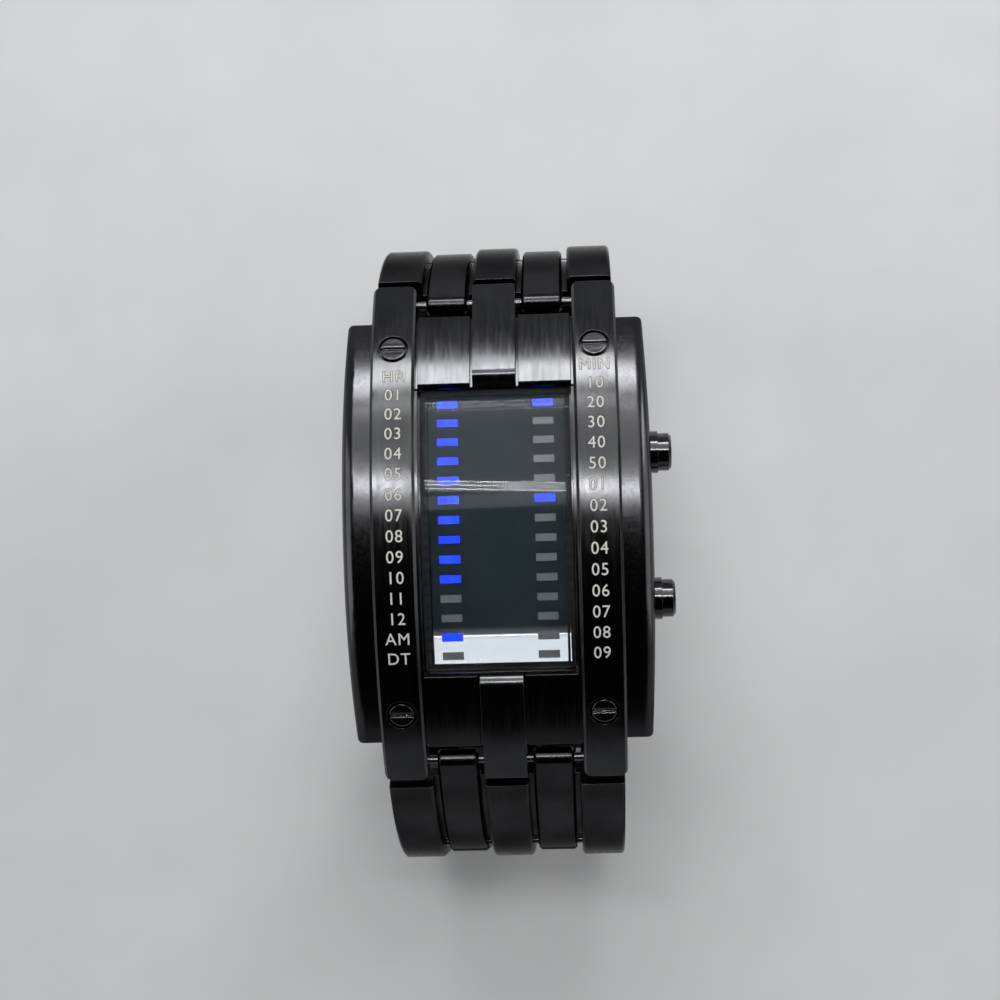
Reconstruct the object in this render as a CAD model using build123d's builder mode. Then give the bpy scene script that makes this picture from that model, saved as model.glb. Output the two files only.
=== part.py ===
import math
import os

from build123d import *

# Binary LED watch with a curved case and a five-column folding-clasp bracelet.
# Millimetres. The case back's outer face is z = 0, +Z is the dial's side,
# +Y is the 12 o'clock side and +X is the side with the two push buttons.

# Case arc: every top surface of the case bends about one axis along X
case_height = 11.0
rail_top_radius = 46.8
lug_pin_spacing = 52.8

# Number rails, one on each side of the screen
rail_span = 28.0
rail_width = 5.0
rail_depth = 2.6
rail_screen_lip = 0.35
rail_corner_radius = 0.9
rail_edge_bevel = 0.3
rail_screw_spacing_y = 41.6
rail_screw_spacing_x = 22.9

# Slotted screws that hold the rails
rail_screw_head_diameter = 2.8
rail_screw_recess_diameter = 3.5
rail_screw_recess_depth = 0.9
rail_screw_shank_diameter = 1.6
rail_screw_grip = 2.0
rail_screw_slot_width = 0.5
rail_screw_slot_depth = 0.4

# Deck and centre ridge between the rails
deck_drop = 0.7
deck_setback = 0.85
deck_groove_width = 0.3
deck_groove_depth = 0.6
ridge_width = 4.9
ridge_nose_radius = 1.6

# Case middle
body_underside = 0.4
body_length = 48.4
seat_thickness = 1.0

# Crystal and its gasket
crystal_width = 16.9
crystal_length = 31.5
crystal_thickness = 1.7
crystal_side_bevel = 0.6
crystal_end_bevel = 0.25
crystal_corner_radius = 0.9
crystal_gap = 0.1
crystal_gasket_thickness = 0.2
crystal_seat_side = 0.8
crystal_seat_end = 0.65

# Side shields
shield_length = 48.4
shield_width = 3.5
shield_bow = 0.5
shield_drop = 1.9
shield_underside = 1.0
shield_shoulder_radius = 1.5
shield_end_radius = 0.6

# Display behind the crystal
lamp_count = 14
lamp_end_margin = 1.4
lamp_column_spacing = 10.85
lamp_length = 2.3
lamp_width = 0.8
lamp_gap = 0.05
lamp_height = 1.4
lamp_proud = 0.1
mask_thickness = 0.7
mask_gap = 0.5
display_board_thickness = 0.4
display_fit = 0.1
display_ledge = 0.3

# Movement
insulator_thickness = 0.25
cell_diameter = 12.4
cell_thickness = 1.6
cell_spacing = 13.2
contact_thickness = 0.3
contact_width = 4.0
contact_length = 18.0
board_width = 13.0
board_length = 21.6
board_thickness = 0.8
chip_side = 6.0
chip_height = 0.9
board_fit = 0.1
cell_fit = 0.6
holder_side_wall = 0.95
holder_end_wall = 0.4
holder_clearance = 0.7
switch_depth = 2.0
switch_width = 2.2
switch_height = 0.75
switch_plunger_diameter = 0.6
switch_plunger_length = 0.5
switch_reach = 7.9
switch_notch_clearance = 0.2

# Case back
back_side_rim = 2.7
back_end_rim = 2.8
back_thickness = 1.2
back_corner_radius = 3.0
back_fit = 0.05
back_rim_bevel = 0.25
back_screw_inset_x = 1.4
back_screw_inset_y = 5.0
back_screw_head_diameter = 2.0
back_screw_head_height = 0.5
back_screw_shank_diameter = 1.1
back_screw_grip = 1.6
back_screw_slot_width = 0.4
back_screw_slot_depth = 0.25
back_gasket_width = 0.6
back_gasket_height = 0.4

# Push buttons on the +X side
button_spacing = 16.6
button_height = 4.6
button_cap_diameter = 4.3
button_cap_length = 1.5
button_cap_seat = 0.7
button_cap_bevel = 0.3
button_stem_diameter = 1.2
button_travel = 0.7
button_gap = 0.15
button_tip_gap = 0.1
button_clip_diameter = 2.0
button_clip_thickness = 0.3
button_ring_width = 0.45
tube_cup_floor = 0.7
tube_diameter = 2.8
tube_collar_diameter = 4.8
tube_collar_length = 0.8
tube_fit = 0.05

# Bracelet links
pin_diameter = 1.0
pin_hole_clearance = 0.06
pin_end_inset = 0.15
knuckle_radius = 1.5
link_gap = 0.35
first_link_gap = 1.3
column_a_above_pin = 1.7
column_b_above_pin = 1.2
web_below_pin = 0.2
bracelet_width = 27.4
outer_column_width = 5.15
side_column_width = 4.7
centre_column_width = 5.0
column_bevel = 0.3
first_link_pitch = 21.0
first_link_bend = 39.0
link_pitch = 9.0
link_bend = 8.0

# Headings of the links' chords below the horizontal, in degrees, closed loop
upper_headings = (68, 92, 114, 136, 158)
lower_headings = (55, 84, 106, 128, 150)

# Folding clasp
clasp_belly = 1.6
clasp_flat_length = 24.0
clasp_wall = 1.1
clasp_side_wall = 1.2
clasp_end_gap = 0.35
adjust_hole_count = 3
adjust_hole_pitch = 2.3
spring_bar_diameter = 1.4
spring_bar_inset = 0.3
spring_bar_tip_diameter = 0.8
spring_bar_tip_gap = 0.15
blade_thickness = 0.9
blade_pin_diameter = 0.9
blade_knuckle_radius = 1.0
middle_blade_width = 9.0
middle_blade_belly = 0.9
bottom_blade_side_gap = 1.3
bottom_arm_width = 4.4
bottom_bar_width = 2.0
bottom_bar_inset = 5.0
bottom_bar_spacing = 14.0
blade_gap = 0.3
cover_hinge_lift = 0.3
fold_hinge_inset = 8.0
fold_hinge_drop = 0.3
blade_ear_width = 1.2
blade_ear_radius = 1.3
ear_slot_depth = 2.9
ear_slot_height = 6.0
release_button_length = 5.0
release_button_height = 1.6
release_button_proud = 0.7
release_button_inside = 0.6
release_button_flange = 0.4
release_button_fit = 0.1
release_button_travel = 0.6

# One overrun serves every cut that leaves a solid, one tolerance every search for an edge
overrun = 1.0
match_tolerance = 0.005

# Places worked out from the sizes above
arc_centre = case_height - rail_top_radius
pin_orbit = rail_top_radius - column_a_above_pin
lug_pin_angle = math.asin(lug_pin_spacing / 2 / pin_orbit)
lug_pin_height = arc_centre + pin_orbit * math.cos(lug_pin_angle)
rail_end_angle = lug_pin_angle + knuckle_radius / pin_orbit
rail_half_length = rail_top_radius * math.sin(rail_end_angle)
rail_inner_radius = rail_top_radius - rail_depth
rail_inner_x = rail_span / 2 - rail_width
deck_radius = rail_top_radius - deck_drop
deck_end_angle = lug_pin_angle - (knuckle_radius + link_gap + deck_setback) / pin_orbit
crystal_top_radius = rail_inner_radius + crystal_gasket_thickness + crystal_thickness
cavity_top_radius = rail_inner_radius - seat_thickness
back_top = back_thickness
mask_top_radius = rail_inner_radius + crystal_gasket_thickness - mask_gap
mask_inner_radius = mask_top_radius - mask_thickness
lamp_top_radius = mask_top_radius + lamp_proud
lamp_foot_radius = lamp_top_radius - lamp_height
window_width = crystal_width - 2 * crystal_seat_side
window_length = crystal_length - 2 * crystal_seat_end
lamp_span_angle = 2 * math.asin((window_length / 2 - lamp_end_margin) / lamp_foot_radius)
display_board_inner_radius = lamp_foot_radius - display_board_thickness
holder_width = window_width + 2 * holder_side_wall
holder_length = window_length + 2 * holder_end_wall
holder_pocket_width = board_width + 2 * board_fit
holder_pocket_length = cell_spacing + cell_diameter + 2 * cell_fit
cavity_width = holder_width + 2 * holder_clearance
cavity_length = holder_length + 2 * holder_clearance
back_width = cavity_width + 2 * back_side_rim
back_length = cavity_length + 2 * back_end_rim
back_screw_spacing_x = back_width - 2 * back_screw_inset_x
back_screw_spacing_y = back_length - 2 * back_screw_inset_y
module_floor = back_top + insulator_thickness
cell_top = module_floor + cell_thickness
board_floor = cell_top + contact_thickness
board_top = board_floor + board_thickness
shield_face = rail_span / 2 + shield_width
stem_tip_x = switch_reach + button_tip_gap + button_travel
collar_end_x = shield_face + tube_collar_length
cap_outer_x = collar_end_x + button_cap_length
cap_inner_x = collar_end_x - button_cap_seat
cup_floor_x = cap_inner_x - button_travel - button_gap
display_board_half = window_width / 2 - display_ledge
half_bracelet = bracelet_width / 2
outer_column_inner = half_bracelet - outer_column_width
column_gap = (outer_column_inner - centre_column_width / 2 - side_column_width) / 2
side_column_inner = centre_column_width / 2 + column_gap
tongue_half = side_column_inner + side_column_width
cover_inner_x = half_bracelet - clasp_side_wall
release_flange_x = cover_inner_x - release_button_fit
bottom_blade_width = 2 * (release_flange_x - release_button_inside - bottom_blade_side_gap)


def arc_height(radius, y):
    """Height over the case back of a case arc at the distance y from the middle"""
    return arc_centre + math.sqrt(radius * radius - y * y)


def on_arc(radius, angle, centre=(0, arc_centre)):
    """Point of an arc, its angle counted from straight up towards the first axis"""
    return (centre[0] + radius * math.sin(angle), centre[1] + radius * math.cos(angle))


def draw_band(inner, outer, start, end, centre=(0, arc_centre), mode=Mode.ADD):
    """Face between two arcs about one centre, from one angle to another"""
    middle = (start + end) / 2
    angles = (start, middle, end)
    with BuildLine() as outline:
        ThreePointArc(*[on_arc(outer, angle, centre) for angle in angles])
        Line(on_arc(outer, end, centre), on_arc(inner, end, centre))
        ThreePointArc(*[on_arc(inner, angle, centre) for angle in angles])
        Line(on_arc(inner, start, centre), on_arc(outer, start, centre))
    make_face(outline.edges(), mode=mode)


def draw_straight_band(inner, outer, length):
    """Face between two case arcs whose two ends stand upright, length apart"""
    reach = math.asin((length / 2 + overrun) / inner)
    draw_band(inner, outer, -reach, reach)
    Rectangle(length, 2 * rail_top_radius, mode=Mode.INTERSECT)


def long_edges(part, radius):
    """Edges of a part that follow an arc of the given radius"""
    arcs = part.edges().filter_by(GeomType.CIRCLE)
    return [edge for edge in arcs if abs(edge.radius - radius) < match_tolerance]


def finish(part, name):
    """Label a sub-part and write it to its own file"""
    part.label = name
    export_step(part, "parts/" + name + ".step")


def radial_plane(x, y, radius):
    """Plane on a case arc, its normal pointing out of the arc"""
    angle = math.asin(y / radius)
    return Plane(
        origin=(x, y, arc_height(radius, y)),
        x_dir=(1, 0, 0),
        z_dir=(0, math.sin(angle), math.cos(angle)),
    )


def rail_screw_planes():
    """The four planes on the rails' tops where the screws sit"""
    for x in (-rail_screw_spacing_x / 2, rail_screw_spacing_x / 2):
        for y in (-rail_screw_spacing_y / 2, rail_screw_spacing_y / 2):
            yield radial_plane(x, y, rail_top_radius)


def back_screw_places():
    """Centres of the case back's four screws"""
    return [
        (x, y)
        for x in (-back_screw_spacing_x / 2, back_screw_spacing_x / 2)
        for y in (-back_screw_spacing_y / 2, back_screw_spacing_y / 2)
    ]


def button_plane(x, y):
    """Plane across a push button's axis at the distance x from the middle"""
    return Plane(origin=(x, y, button_height), x_dir=(0, 1, 0), z_dir=(1, 0, 0))


button_places = {"upper": button_spacing / 2, "lower": -button_spacing / 2}
lug_pin_places = [
    (side * lug_pin_spacing / 2, lug_pin_height)
    for side in (-1, 1)
]


def make_case_middle():
    """One casting: the core under the rails, the deck, the centre ridge and its lugs"""
    with BuildPart() as case_middle:
        with BuildSketch(Plane.YZ):
            draw_straight_band(rail_inner_radius - case_height, rail_inner_radius, body_length)
            with Locations((0, body_underside)):
                Rectangle(body_length, case_height, align=(Align.CENTER, Align.MIN), mode=Mode.INTERSECT)
        extrude(amount=rail_span / 2, both=True)
        # The deck's two plates, between grooves
        with BuildSketch(Plane.YZ):
            draw_band(rail_inner_radius - deck_drop, deck_radius, -deck_end_angle, deck_end_angle)
        extrude(amount=rail_inner_x, both=True)
        groove_edges = (-rail_inner_x, -ridge_width / 2, ridge_width / 2, rail_inner_x)
        for edge_x, inward in zip(groove_edges, (1, -1, 1, -1)):
            with BuildSketch(Plane.YZ.offset(edge_x)):
                draw_band(
                    deck_radius - deck_groove_depth, deck_radius + overrun, -rail_end_angle, rail_end_angle
                )
            extrude(amount=inward * deck_groove_width, mode=Mode.SUBTRACT)
        # The ridge runs from lug to lug and is cut away over the screen
        with BuildSketch(Plane.YZ):
            draw_band(rail_inner_radius, rail_top_radius, -rail_end_angle, rail_end_angle)
            with Locations(*lug_pin_places):
                Circle(knuckle_radius)
        extrude(amount=ridge_width / 2, both=True)
        with BuildSketch(Plane.XY.offset(case_height + overrun)):
            Rectangle(2 * rail_inner_x, crystal_length + 2 * crystal_gap)
        extrude(amount=-(case_height + overrun), mode=Mode.SUBTRACT)
        with BuildSketch(Plane.YZ):
            draw_straight_band(
                rail_inner_radius - case_height, rail_inner_radius, crystal_length + 2 * crystal_gap
            )
            with Locations((0, body_underside)):
                Rectangle(body_length, case_height, align=(Align.CENTER, Align.MIN), mode=Mode.INTERSECT)
        extrude(amount=rail_inner_x, both=True)
        nose_y = crystal_length / 2 + crystal_gap
        noses = case_middle.edges().filter_by(Axis.X).filter_by(
            lambda edge: abs(abs(edge.center().Y) - nose_y) < match_tolerance
            and abs(edge.length - ridge_width) < match_tolerance
            and edge.center().Z > arc_height(deck_radius, nose_y)
        )
        fillet(noses, ridge_nose_radius)
        # Window under the crystal, and the cavity that the movement fills
        with BuildSketch(Plane.XY):
            Rectangle(window_width, window_length)
        extrude(amount=case_height, mode=Mode.SUBTRACT)
        with BuildSketch(Plane.YZ):
            draw_straight_band(cavity_top_radius - case_height, cavity_top_radius, cavity_length)
        extrude(amount=cavity_width / 2, both=True, mode=Mode.SUBTRACT)
        # Recess for the back plate and the groove for its gasket
        with BuildSketch(Plane.XY.offset(back_top)):
            RectangleRounded(back_width + 2 * back_fit, back_length + 2 * back_fit, back_corner_radius)
        extrude(amount=-back_top, mode=Mode.SUBTRACT)
        with BuildSketch(Plane.XY.offset(back_top)):
            Rectangle(cavity_width + 2 * back_gasket_width, cavity_length + 2 * back_gasket_width)
        extrude(amount=back_gasket_height, mode=Mode.SUBTRACT)
        for x, y in back_screw_places():
            with BuildSketch(Plane.XY.offset(back_top)):
                with Locations((x, y)):
                    Circle(back_screw_shank_diameter / 2)
            extrude(amount=back_screw_grip, mode=Mode.SUBTRACT)
        for place in rail_screw_planes():
            with BuildSketch(place.offset(-rail_depth)):
                Circle(rail_screw_shank_diameter / 2)
            extrude(amount=-rail_screw_grip, mode=Mode.SUBTRACT)
        for y in button_places.values():
            with BuildSketch(button_plane(0, y)):
                Circle(tube_diameter / 2)
            extrude(amount=rail_span, mode=Mode.SUBTRACT)
        for place in lug_pin_places:
            with BuildSketch(Plane.YZ):
                with Locations(place):
                    Circle(pin_diameter / 2)
            extrude(amount=ridge_width, both=True, mode=Mode.SUBTRACT)
    finish(case_middle.part, "case_middle")


def make_rail(name, side):
    """Curved bar that carries a column of numbers and one ear of each lug"""
    inner = rail_inner_x if side > 0 else -rail_span / 2
    screen_inner = inner - rail_screen_lip if side > 0 else inner
    with BuildPart() as rail:
        with BuildSketch(Plane.YZ.offset(inner)):
            draw_band(rail_inner_radius, rail_top_radius, -rail_end_angle, rail_end_angle)
            with Locations(*lug_pin_places):
                Circle(knuckle_radius)
        extrude(amount=rail_width)
        chamfer(long_edges(rail, rail_top_radius), rail_edge_bevel)
        with BuildSketch(Plane.XY):
            with Locations((inner + rail_width / 2, 0)):
                RectangleRounded(rail_width, 2 * rail_half_length, rail_corner_radius)
        extrude(amount=case_height, both=True, mode=Mode.INTERSECT)
        # The rail is a little wider beside the screen
        with BuildSketch(Plane.YZ.offset(screen_inner)):
            draw_straight_band(rail_inner_radius, rail_top_radius - rail_edge_bevel, crystal_length)
        extrude(amount=rail_width + rail_screen_lip)
        for place in rail_screw_planes():
            with BuildSketch(place):
                Circle(rail_screw_recess_diameter / 2)
            extrude(amount=-rail_screw_recess_depth, mode=Mode.SUBTRACT)
            with BuildSketch(place):
                Circle(rail_screw_shank_diameter / 2)
            extrude(amount=-rail_depth - overrun, mode=Mode.SUBTRACT)
        for place in lug_pin_places:
            with BuildSketch(Plane.YZ.offset(side * rail_inner_x)):
                with Locations(place):
                    Circle(pin_diameter / 2)
            extrude(amount=side * (rail_width - pin_end_inset), mode=Mode.SUBTRACT)
    finish(rail.part, name)


def make_rail_screws():
    """Four slotted screws through the rails into the case middle"""
    with BuildPart() as rail_screws:
        for place in rail_screw_planes():
            with BuildSketch(place.offset(-rail_screw_recess_depth)):
                Circle(rail_screw_head_diameter / 2)
            extrude(amount=rail_screw_recess_depth)
            with BuildSketch(place.offset(-rail_screw_recess_depth)):
                Circle(rail_screw_shank_diameter / 2)
            extrude(amount=rail_screw_recess_depth - rail_depth - rail_screw_grip)
            with BuildSketch(place):
                Rectangle(rail_screw_recess_diameter, rail_screw_slot_width)
            extrude(amount=-rail_screw_slot_depth, mode=Mode.SUBTRACT)
    finish(rail_screws.part, "rail_screws")


def draw_shield_plan(side):
    """Outline of a side shield seen from above, bowed on its outer side"""
    end_x = side * (shield_face - shield_bow)
    end_y = shield_length / 2
    with BuildLine() as outline:
        Line((0, -end_y), (end_x, -end_y))
        ThreePointArc((end_x, -end_y), (side * shield_face, 0), (end_x, end_y))
        Line((end_x, end_y), (0, end_y))
        Line((0, end_y), (0, -end_y))
    make_face(outline.edges())


def make_shield(name, side):
    """Bowed guard on a flank of the case, revolved about the case arc's axis"""
    top_radius = rail_top_radius - shield_drop
    reach = math.asin((shield_length / 2 + overrun) / (top_radius - case_height))
    radial = Plane(
        origin=(0, 0, arc_centre), x_dir=(1, 0, 0), z_dir=(0, -math.cos(reach), -math.sin(reach))
    )
    with BuildPart() as shield:
        with BuildSketch(radial) as profile:
            with Locations((side * (rail_span + shield_width) / 2, top_radius)):
                Rectangle(shield_width, case_height, align=(Align.CENTER, Align.MAX))
            outer = profile.vertices().filter_by(lambda corner: abs(corner.X) > rail_span / 2 + overrun)
            fillet(outer.sort_by(Axis.Y)[-1], shield_shoulder_radius)
        revolve(axis=Axis((0, 0, arc_centre), (-1, 0, 0)), revolution_arc=2 * math.degrees(reach))
        with BuildSketch(Plane.XY.offset(shield_underside)) as plan:
            draw_shield_plan(side)
            corners = plan.vertices().filter_by(lambda corner: abs(corner.X) > rail_span / 2)
            fillet(corners, shield_end_radius)
        extrude(amount=case_height, mode=Mode.INTERSECT)
        if side > 0:
            for y in button_places.values():
                with BuildSketch(button_plane(rail_span / 2, y)):
                    Circle(tube_collar_diameter / 2)
                extrude(amount=shield_width, mode=Mode.SUBTRACT)
    finish(shield.part, name)


def make_crystal():
    """Curved glass over the display, bevelled all round and rounded at its corners"""
    with BuildPart() as crystal:
        with BuildSketch(Plane.YZ):
            draw_straight_band(crystal_top_radius - crystal_thickness, crystal_top_radius, crystal_length)
        extrude(amount=crystal_width / 2, both=True)
        chamfer(long_edges(crystal, crystal_top_radius), crystal_side_bevel)
        ends = crystal.edges().filter_by(Axis.X).sort_by(Axis.Z)[-2:]
        chamfer(ends, crystal_end_bevel)
        with BuildSketch(Plane.XY):
            RectangleRounded(crystal_width, crystal_length, crystal_corner_radius)
        extrude(amount=case_height, mode=Mode.INTERSECT)
    finish(crystal.part, "crystal")


def make_crystal_gasket():
    """Thin frame between the glass and its seat"""
    with BuildPart() as gasket:
        with BuildSketch(Plane.YZ):
            draw_straight_band(
                rail_inner_radius, rail_inner_radius + crystal_gasket_thickness, crystal_length
            )
        extrude(amount=crystal_width / 2, both=True)
        with BuildSketch(Plane.XY):
            Rectangle(window_width, window_length)
        extrude(amount=case_height, mode=Mode.SUBTRACT)
    finish(gasket.part, "crystal_gasket")


def lamp_planes(x):
    """Planes of one lamp column at the display board, following its curve"""
    for row in range(lamp_count):
        angle = lamp_span_angle * (row / (lamp_count - 1) - 0.5)
        place = on_arc(lamp_foot_radius, angle)
        yield Plane(
            origin=(x, place[0], place[1]),
            x_dir=(1, 0, 0),
            z_dir=(0, math.sin(angle), math.cos(angle)),
        )


def make_display():
    """Curved board, the two columns of lamps on it and the mask round them"""
    columns = {"hour_lamps": -lamp_column_spacing / 2, "minute_lamps": lamp_column_spacing / 2}
    mask_width = window_width - 2 * display_fit
    mask_length = window_length - 2 * display_fit
    with BuildPart() as display_mask:
        with BuildSketch(Plane.YZ):
            draw_straight_band(mask_inner_radius, mask_top_radius, mask_length)
        extrude(amount=mask_width / 2, both=True)
        for x in columns.values():
            for place in lamp_planes(x):
                with BuildSketch(place):
                    Rectangle(lamp_length + 2 * lamp_gap, lamp_width + 2 * lamp_gap)
                extrude(amount=lamp_height + overrun, mode=Mode.SUBTRACT)
    finish(display_mask.part, "display_mask")
    with BuildPart() as display_board:
        with BuildSketch(Plane.YZ):
            draw_straight_band(
                display_board_inner_radius,
                display_board_inner_radius + display_board_thickness,
                mask_length,
            )
        extrude(amount=display_board_half, both=True)
    finish(display_board.part, "display_board")
    for name, x in columns.items():
        with BuildPart() as lamps:
            for place in lamp_planes(x):
                with BuildSketch(place):
                    Rectangle(lamp_length, lamp_width)
                extrude(amount=lamp_height)
        finish(lamps.part, name)


def make_holder():
    """Plastic frame that locates the display, the board and the cells"""
    with BuildPart() as holder:
        with BuildSketch(Plane.YZ):
            top_radius = cavity_top_radius - display_fit / 2
            draw_straight_band(top_radius - case_height, top_radius, holder_length)
            with Locations((0, module_floor)):
                Rectangle(holder_length, case_height, align=(Align.CENTER, Align.MIN), mode=Mode.INTERSECT)
        extrude(amount=holder_width / 2, both=True)
        with BuildSketch(Plane.YZ):
            draw_straight_band(display_board_inner_radius, cavity_top_radius + overrun, window_length)
        extrude(amount=display_board_half + display_fit / 2, both=True, mode=Mode.SUBTRACT)
        with BuildSketch(Plane.XY):
            Rectangle(holder_pocket_width, holder_pocket_length)
        extrude(amount=case_height, mode=Mode.SUBTRACT)
        # Notches for the buttons' tips and their switches
        notch = button_clip_diameter + 2 * switch_notch_clearance
        for y in button_places.values():
            with BuildSketch(button_plane(holder_pocket_width / 2 - overrun, y)):
                Rectangle(notch, notch)
            extrude(amount=holder_width / 2, mode=Mode.SUBTRACT)
    finish(holder.part, "module_holder")


def make_movement():
    """Insulating film, the two cells, their contact, the board, chip and switches"""
    with BuildPart() as insulator:
        with BuildSketch(Plane.XY.offset(back_top)):
            Rectangle(holder_width, holder_length)
        extrude(amount=insulator_thickness)
    finish(insulator.part, "battery_insulator")
    with BuildPart() as cells:
        for y in (-cell_spacing / 2, cell_spacing / 2):
            with BuildSketch(Plane.XY.offset(module_floor)):
                with Locations((0, y)):
                    Circle(cell_diameter / 2)
            extrude(amount=cell_thickness)
    finish(cells.part, "coin_cells")
    with BuildPart() as contact:
        with BuildSketch(Plane.XY.offset(cell_top)):
            Rectangle(contact_width, contact_length)
        extrude(amount=contact_thickness)
    finish(contact.part, "battery_contact")
    with BuildPart() as board:
        with BuildSketch(Plane.XY.offset(board_floor)):
            Rectangle(board_width, board_length)
        extrude(amount=board_thickness)
    finish(board.part, "circuit_board")
    with BuildPart() as chip:
        with BuildSketch(Plane.XY.offset(board_top)):
            Rectangle(chip_side, chip_side)
        extrude(amount=chip_height)
    finish(chip.part, "controller_chip")
    with BuildPart() as switches:
        for y in button_places.values():
            with BuildSketch(Plane.XY.offset(board_top)):
                with Locations((switch_reach - switch_plunger_length, y)):
                    Rectangle(switch_depth, switch_width, align=(Align.MAX, Align.CENTER))
            extrude(amount=switch_height)
            with BuildSketch(button_plane(switch_reach, y)):
                Circle(switch_plunger_diameter / 2)
            extrude(amount=-switch_plunger_length - switch_depth / 2)
    finish(switches.part, "push_switches")


def make_back():
    """Back plate, its gasket and its four slotted screws"""
    with BuildPart() as back:
        with BuildSketch(Plane.XY):
            RectangleRounded(back_width, back_length, back_corner_radius)
        extrude(amount=back_thickness)
        chamfer(back.faces().sort_by(Axis.Z)[0].edges(), back_rim_bevel)
        for x, y in back_screw_places():
            with Locations((x, y, 0)):
                Cylinder(
                    back_screw_head_diameter / 2 + back_fit,
                    back_screw_head_height,
                    align=(Align.CENTER, Align.CENTER, Align.MIN),
                    mode=Mode.SUBTRACT,
                )
                Cylinder(
                    back_screw_shank_diameter / 2 + back_fit,
                    back_thickness,
                    align=(Align.CENTER, Align.CENTER, Align.MIN),
                    mode=Mode.SUBTRACT,
                )
    finish(back.part, "case_back")
    with BuildPart() as gasket:
        with BuildSketch(Plane.XY.offset(back_top)):
            Rectangle(cavity_width + 2 * back_gasket_width, cavity_length + 2 * back_gasket_width)
            Rectangle(cavity_width, cavity_length, mode=Mode.SUBTRACT)
        extrude(amount=back_gasket_height)
    finish(gasket.part, "case_back_gasket")
    with BuildPart() as screws:
        for x, y in back_screw_places():
            with BuildSketch(Plane.XY):
                with Locations((x, y)):
                    Circle(back_screw_head_diameter / 2)
            extrude(amount=back_screw_head_height)
            with BuildSketch(Plane.XY):
                with Locations((x, y)):
                    Circle(back_screw_shank_diameter / 2)
            extrude(amount=back_thickness + back_screw_grip)
            with BuildSketch(Plane.XY):
                with Locations((x, y)):
                    Rectangle(back_screw_head_diameter, back_screw_slot_width)
            extrude(amount=back_screw_slot_depth, mode=Mode.SUBTRACT)
    finish(screws.part, "case_back_screws")


def make_buttons():
    """Guide tubes with their cups, sealing rings, and the two buttons with their clips"""
    ring_seat = cup_floor_x - button_ring_width - button_gap / 2
    with BuildPart() as tubes:
        for y in button_places.values():
            with BuildSketch(button_plane(cavity_width / 2, y)):
                Circle(tube_diameter / 2)
            extrude(amount=ring_seat - cavity_width / 2)
            with BuildSketch(button_plane(cup_floor_x - tube_cup_floor, y)):
                Circle(tube_collar_diameter / 2)
            extrude(amount=collar_end_x - cup_floor_x + tube_cup_floor)
            with BuildSketch(button_plane(cup_floor_x, y)):
                Circle(button_cap_diameter / 2 + tube_fit)
            extrude(amount=collar_end_x - cup_floor_x, mode=Mode.SUBTRACT)
            with BuildSketch(button_plane(ring_seat, y)):
                Circle(button_stem_diameter / 2 + button_ring_width + tube_fit)
            extrude(amount=collar_end_x - ring_seat, mode=Mode.SUBTRACT)
            with BuildSketch(button_plane(0, y)):
                Circle(button_stem_diameter / 2 + tube_fit)
            extrude(amount=collar_end_x, mode=Mode.SUBTRACT)
    finish(tubes.part, "button_tubes")
    with BuildPart() as rings:
        for y in button_places.values():
            with BuildSketch(button_plane(ring_seat, y)):
                Circle(button_stem_diameter / 2 + button_ring_width + tube_fit / 2)
                Circle(button_stem_diameter / 2 + tube_fit / 2, mode=Mode.SUBTRACT)
            extrude(amount=button_ring_width)
    finish(rings.part, "button_seals")
    clip_x = cavity_width / 2 - tube_fit
    for name, y in button_places.items():
        with BuildPart() as button:
            with BuildSketch(button_plane(stem_tip_x, y)):
                Circle(button_stem_diameter / 2)
            extrude(amount=cap_outer_x - stem_tip_x)
            with BuildSketch(button_plane(cap_inner_x, y)):
                Circle(button_cap_diameter / 2)
            extrude(amount=cap_outer_x - cap_inner_x)
            chamfer(button.faces().sort_by(Axis.X)[-1].edges(), button_cap_bevel)
        finish(button.part, name + "_button")
        with BuildPart() as clip:
            with BuildSketch(button_plane(clip_x, y)):
                Circle(button_clip_diameter / 2)
                Circle(button_stem_diameter / 2, mode=Mode.SUBTRACT)
            extrude(amount=-button_clip_thickness)
        finish(clip.part, name + "_button_clip")


def walk_chain(headings):
    """Pin places of a closed half loop: the lug pin, then one at each link's far end"""
    places = [(lug_pin_spacing / 2, lug_pin_height)]
    for number, heading in enumerate(headings):
        pitch = first_link_pitch if number == 0 else link_pitch
        turn = math.radians(heading)
        y, z = places[-1]
        places.append((y + pitch * math.cos(turn), z - pitch * math.sin(turn)))
    return places


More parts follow.
